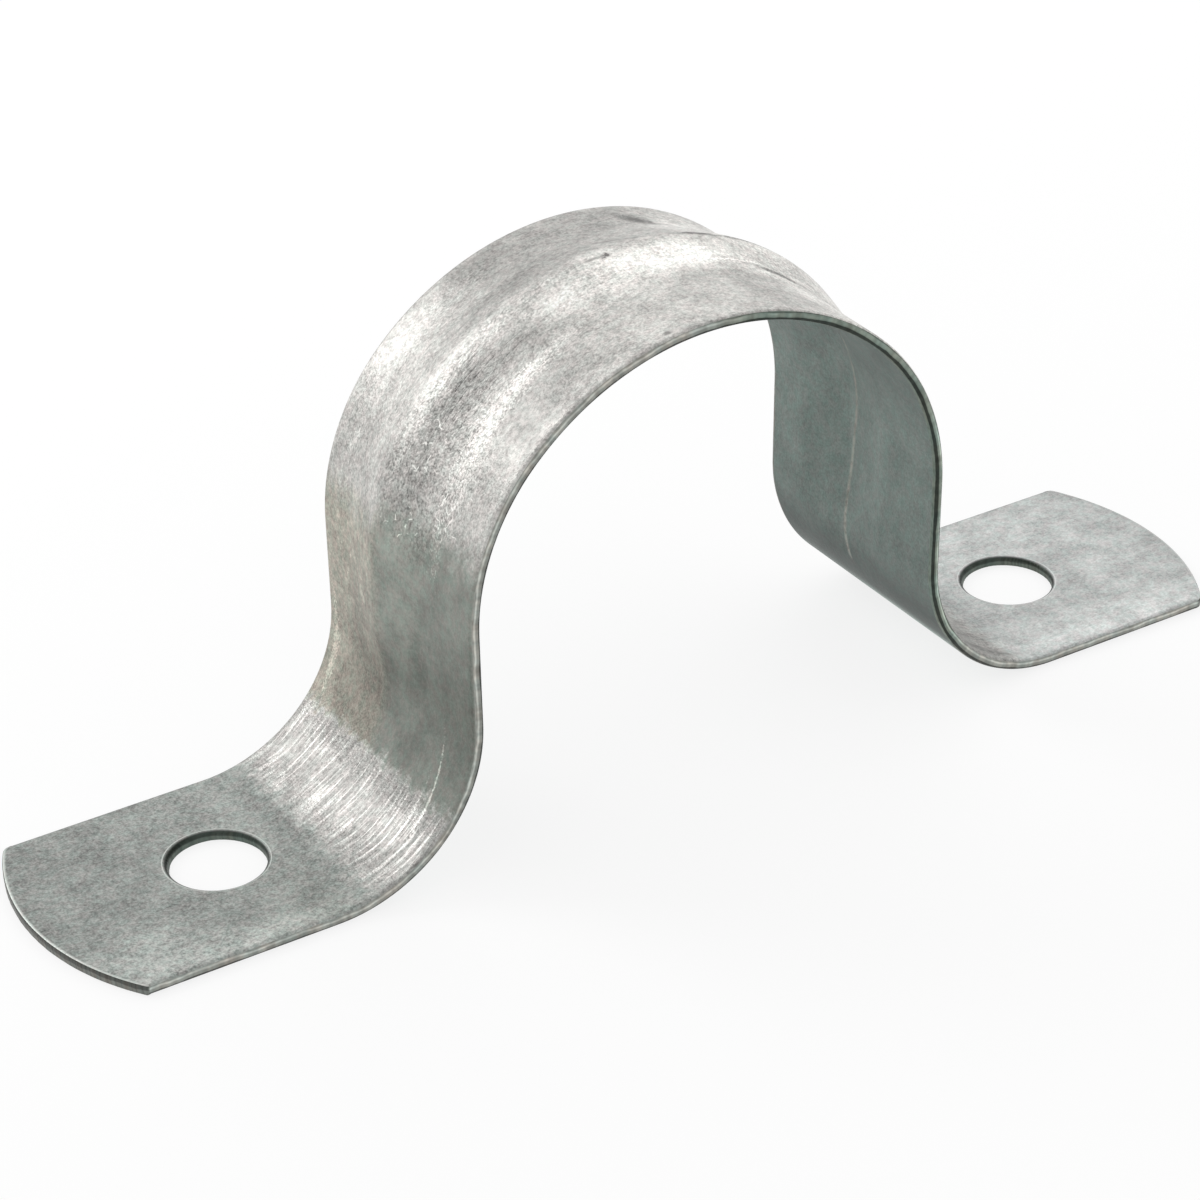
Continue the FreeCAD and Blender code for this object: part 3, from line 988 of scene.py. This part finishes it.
def zinc_face():
    """Galvanised sheet: satin mottled zinc, rubbed bright where the tools bore, with painted shade down the
    legs and on the inner face, and painted highlights on the rib.
    """
    zinc = Finish("galvanised zinc", 0.17, 0.42, 2.3, 1.12)
    find_places(zinc)
    soft = zinc.times(zinc.ragged, 1.5)
    long_streaks = zinc.times(zinc.streaks(3.0, 0.17, 0.65, 1.2), 1.1)
    short_streaks = zinc.times(zinc.streaks(1.1, 0.11, 0.8, 0.9), 0.4)
    on_streaks = zinc.times(zinc.on_bend, zinc.mix(0.25, 1.0, zinc.left))
    bend_streaks = zinc.times(zinc.plus(long_streaks, short_streaks), on_streaks)
    flank_streaks = zinc.times(zinc.streaks(3.0, 0.09, 0.6), zinc.patch(soft, *FLANK_STREAKS_PLACE))

    speckle = zinc.minus(zinc.grain, 0.5)
    small = zinc.times(zinc.minus(zinc.blotch, 0.5), 0.9)
    wide = zinc.times(zinc.minus(zinc.cloud, 0.5), 0.26)
    uneven = zinc.plus(zinc.times(zinc.plus(speckle, small), outer_contrast(zinc)), wide)
    outer = zinc.times(outer_tone(zinc), zinc.plus(uneven, 1.0))
    outer = zinc.plus(outer, zinc.times(bend_streaks, 0.13))
    outer = zinc.minus(outer, zinc.times(flank_streaks, 0.1))
    flecks = zinc.times(zinc.ramp(zinc.fray, 0.53, 0.62), zinc.patch(soft, *LEG_FLECKS_PLACE))
    outer = zinc.plus(outer, zinc.times(flecks, 0.15))
    outer = zinc.mix(outer, SCRATCH_TONE, zinc.times(curled_scratches(zinc), 0.9))
    cut_rim = zinc.band(zinc.sheared, 0.5, 1.5, 0.1, 0.1)
    tip_rim = zinc.times(zinc.ramp(zinc.depth, 0.398, 0.385), cut_rim)
    outer = zinc.mix(outer, 0.55, tip_rim)
    # the rolled rim round each hole is painted dark: painted shade
    hole_roll = zinc.times(zinc.ramp(zinc.depth, 0.398, 0.3), zinc.ramp(zinc.sheared, 1.5, 1.9))
    outer = zinc.mix(outer, 0.09, hole_roll)

    crease = crease_line(zinc)
    inner = inner_tone(zinc, speckle, small, wide, crease)
    zinc.paint(zinc_hue(zinc, crease), zinc.mix(outer, inner, zinc.inside))
    rough = zinc.plus(0.46, zinc.times(zinc.grain, 0.08))
    zinc.feed(zinc.shader.inputs["Roughness"], zinc.minus(rough, zinc.times(bend_streaks, 0.1)))
    relief = zinc.plus(uneven, zinc.times(bend_streaks, 0.4))
    relief = zinc.minus(relief, zinc.times(flank_streaks, 0.4))
    zinc.roughen(zinc.shader, relief, 0.02 * MM, 1.0)
    return zinc.material


def sheared_edge():
    """The cut edges: rolled and zinc-bright along the sides, dark and torn at tips and holes; the dark walls
    are partly the bare cut, partly painted shade, and a pale line along the sides' roll is a painted
    highlight.
    """
    edge = Finish("sheared edge", 0.2, 1.2, 2.5, 3.0)
    frayed = edge.plus(edge.depth, edge.times(edge.minus(edge.blotch, 0.5), 0.12))
    in_hole = edge.ramp(edge.sheared, 1.4, 1.6)
    torn = edge.ramp(frayed, 0.06, -0.06)
    cut_tone = edge.mix(edge.mix(0.095, 0.07, in_hole), edge.mix(0.22, 0.16, in_hole), torn)

    near = edge.ramp(edge.across, 1.0, -1.0)
    past_crown = edge.times(edge.ramp(edge.along, -2.0, 4.0), near)
    on_arch = edge.times(edge.ramp(edge.distance, 47.0, 42.0), past_crown)
    face_end = edge.mix(-0.2, -0.14, on_arch)
    worn = edge.ramp(frayed, face_end, edge.plus(face_end, 0.08))
    side_tone = edge.mix(edge.mix(0.085, 0.055, on_arch), edge.mix(0.33, 0.27, on_arch), worn)
    broken = edge.mix(1.0, edge.ramp(edge.cloud, 0.25, 0.6), on_arch)
    # a painted highlight along the sides' rolled shoulder
    painted_highlight_line = edge.times(edge.band(frayed, 0.08, 0.2, 0.04, 0.04), edge.times(broken, 0.8))
    side_tone = edge.mix(side_tone, 0.62, painted_highlight_line)
    dark_line = edge.times(edge.band(frayed, 0.22, 0.3, 0.03, 0.03), on_arch)
    side_tone = edge.mix(side_tone, 0.1, edge.times(dark_line, 0.8))
    side_tone = edge.mix(side_tone, 0.26, edge.ramp(edge.depth, -0.31, -0.36))
    tone = edge.mix(side_tone, cut_tone, edge.ramp(edge.sheared, 0.2, 0.8))
    tone = edge.times(tone, edge.plus(0.78, edge.times(edge.grain, 0.44)))

    flecked = edge.mix_colour((0.94, 1.03, 0.96, 1.0), (1.04, 1.0, 0.9, 1.0), edge.hue)
    dulled = edge.math("MAXIMUM", on_arch, in_hole)
    weathered = edge.mix_colour((1.0, 1.0, 1.0, 1.0), (0.86, 1.0, 0.94, 1.0), dulled)
    edge.paint(edge.vector("MULTIPLY", flecked, weathered), tone)
    edge.feed(edge.shader.inputs["Roughness"], edge.mix(0.42, 0.55, torn))
    edge.roughen(edge.shader, edge.grain, 0.03 * MM, 0.6)
    return edge.material


# ---------------- the strap

def placed(name, data):
    """A new object in the scene."""
    thing = bpy.data.objects.new(name, data)
    bpy.context.scene.collection.objects.link(thing)
    return thing


def set_inputs(modifier, values):
    """Sets a modifier's inputs by the identifiers of its tree's sockets."""
    for item in modifier.node_group.interface.items_tree:
        if item.item_type == "SOCKET" and item.in_out == "INPUT" and item.name in values:
            modifier[item.identifier] = values[item.name]


def folded_strap(zinc, cut):
    blank = placed("blank", flat_blank())
    press = blank.modifiers.new("forming", "NODES")
    press.node_group = forming_tree()
    set_inputs(press, {**FORMING, "Sheet face": zinc, "Cut face": cut})
    bpy.context.view_layer.update()
    ready = blank.evaluated_get(bpy.context.evaluated_depsgraph_get())
    mesh = bpy.data.meshes.new_from_object(ready)
    mesh.name = "conduit_strap"
    strap = placed("conduit_strap", mesh)
    bpy.data.objects.remove(blank)
    return strap


# ---------------- the studio

FLOOR_HALF = 3.0             # metres
FLOOR_BELOW = 0.02 * MM
FLOOR_GLOW = 0.8
AMBIENT = 0.85
BACKDROP_IN_METAL = 0.8      # the zinc's tones are set for this strength
BACKDROP_SEEN = 0.96         # as bright as the floor looks
WHITE = (1.0, 1.0, 1.0, 1.0)


def seen_rays(bench):
    """1 on rays that see the backdrop (camera, glossy and transmission rays), and 1 on camera rays alone."""
    rays = bench.add("ShaderNodeLightPath").outputs
    seen = bench.math("MAXIMUM", rays["Is Camera Ray"], rays["Is Glossy Ray"])
    return bench.math("MAXIMUM", seen, rays["Is Transmission Ray"]), rays["Is Camera Ray"]


def mixed(bench, first, second, factor, output):
    """Feeds an output with two shaders mixed."""
    bench.feed(output, bench.fitted("ShaderNodeMixShader", (factor, first, second)))


def pale_floor():
    corners = [(x * FLOOR_HALF, y * FLOOR_HALF, 0) for x, y in ((-1, -1), (1, -1), (1, 1), (-1, 1))]
    mesh = bpy.data.meshes.new("floor")
    mesh.from_pydata(corners, [], [(0, 1, 2, 3)])
    floor = placed("floor", mesh)
    floor.location.z = -FLOOR_BELOW
    material = bpy.data.materials.new("pale floor")
    material.use_nodes = True
    nodes = material.node_tree.nodes
    bench = Bench(material.node_tree)
    shader = nodes["Principled BSDF"]
    shader.inputs["Base Color"].default_value = (0.9, 0.9, 0.9, 1.0)
    shader.inputs["Roughness"].default_value = 0.8
    glow = bench.add("ShaderNodeEmission").outputs[0]
    seen, _ = seen_rays(bench)
    surface = nodes["Material Output"].inputs["Surface"]
    mixed(bench, shader.outputs[0], glow, bench.times(seen, FLOOR_GLOW), surface)
    mesh.materials.append(material)
    return floor


def studio_world():
    world = bpy.data.worlds.new("studio")
    world.use_nodes = True
    bpy.context.scene.world = world
    nodes = world.node_tree.nodes
    bench = Bench(world.node_tree)
    seen, by_camera = seen_rays(bench)
    ambient = nodes["Background"]
    ambient.inputs["Color"].default_value = WHITE
    ambient.inputs["Strength"].default_value = AMBIENT
    backdrop = bench.mix(BACKDROP_IN_METAL, BACKDROP_SEEN, by_camera)
    white = bench.named("ShaderNodeBackground", {"Color": WHITE, "Strength": backdrop})[0]
    mixed(bench, ambient.outputs[0], white, seen, nodes["World Output"].inputs["Surface"])


LAMP_AIM = Vector((0, 0, 0.02))
LAMP_SIZE = 0.28


def soft_lamp(name, place, power):
    light = bpy.data.lights.new(name, "AREA")
    light.shape = "DISK"
    light.size = LAMP_SIZE
    light.energy = power
    lamp = placed(name, light)
    lamp.location = place
    lamp.rotation_euler = (LAMP_AIM - Vector(place)).to_track_quat("-Z", "Y").to_euler()


CAMERA_AZIMUTH = math.radians(-32.1824)
CAMERA_ELEVATION = math.radians(30.7437)
CAMERA_ROLL = math.radians(-0.7656)
CAMERA_LENS = 114.227
CAMERA_BACK = 283.956        # millimetres from the middle of the strap's base, as are the next two
CAMERA_RIGHT = -2.794
CAMERA_UP = 9.233


def camera():
    """Looks down on the strap from its near left."""
    level = Vector((math.cos(CAMERA_AZIMUTH), math.sin(CAMERA_AZIMUTH), 0))
    back = Vector((level.y, -level.x, 0)) * math.cos(CAMERA_ELEVATION)
    back.z = math.sin(CAMERA_ELEVATION)
    upright = back.cross(level)
    right = level * math.cos(CAMERA_ROLL) + upright * math.sin(CAMERA_ROLL)
    up = upright * math.cos(CAMERA_ROLL) - level * math.sin(CAMERA_ROLL)
    place = (back * CAMERA_BACK + right * CAMERA_RIGHT + up * CAMERA_UP) * MM
    data = bpy.data.cameras.new("camera")
    data.lens = CAMERA_LENS
    data.sensor_width = 36.0
    data.clip_start = 0.01
    data.clip_end = 20.0
    eye = placed("camera", data)
    eye.matrix_world = Matrix.Translation(place) @ Matrix((right, up, back)).transposed().to_4x4()
    bpy.context.scene.camera = eye


strap = folded_strap(zinc_face(), sheared_edge())
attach(strap, "root")
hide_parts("strap")

pale_floor()
studio_world()
soft_lamp("back left softbox", (-0.212, 0.367, 0.285), 0.66)
soft_lamp("back right softbox", (0.212, 0.367, 0.285), 0.25)
soft_lamp("right softbox", (0.367, 0.212, 0.285), 0.16)
camera()

bpy.context.scene.view_settings.view_transform = "Standard"
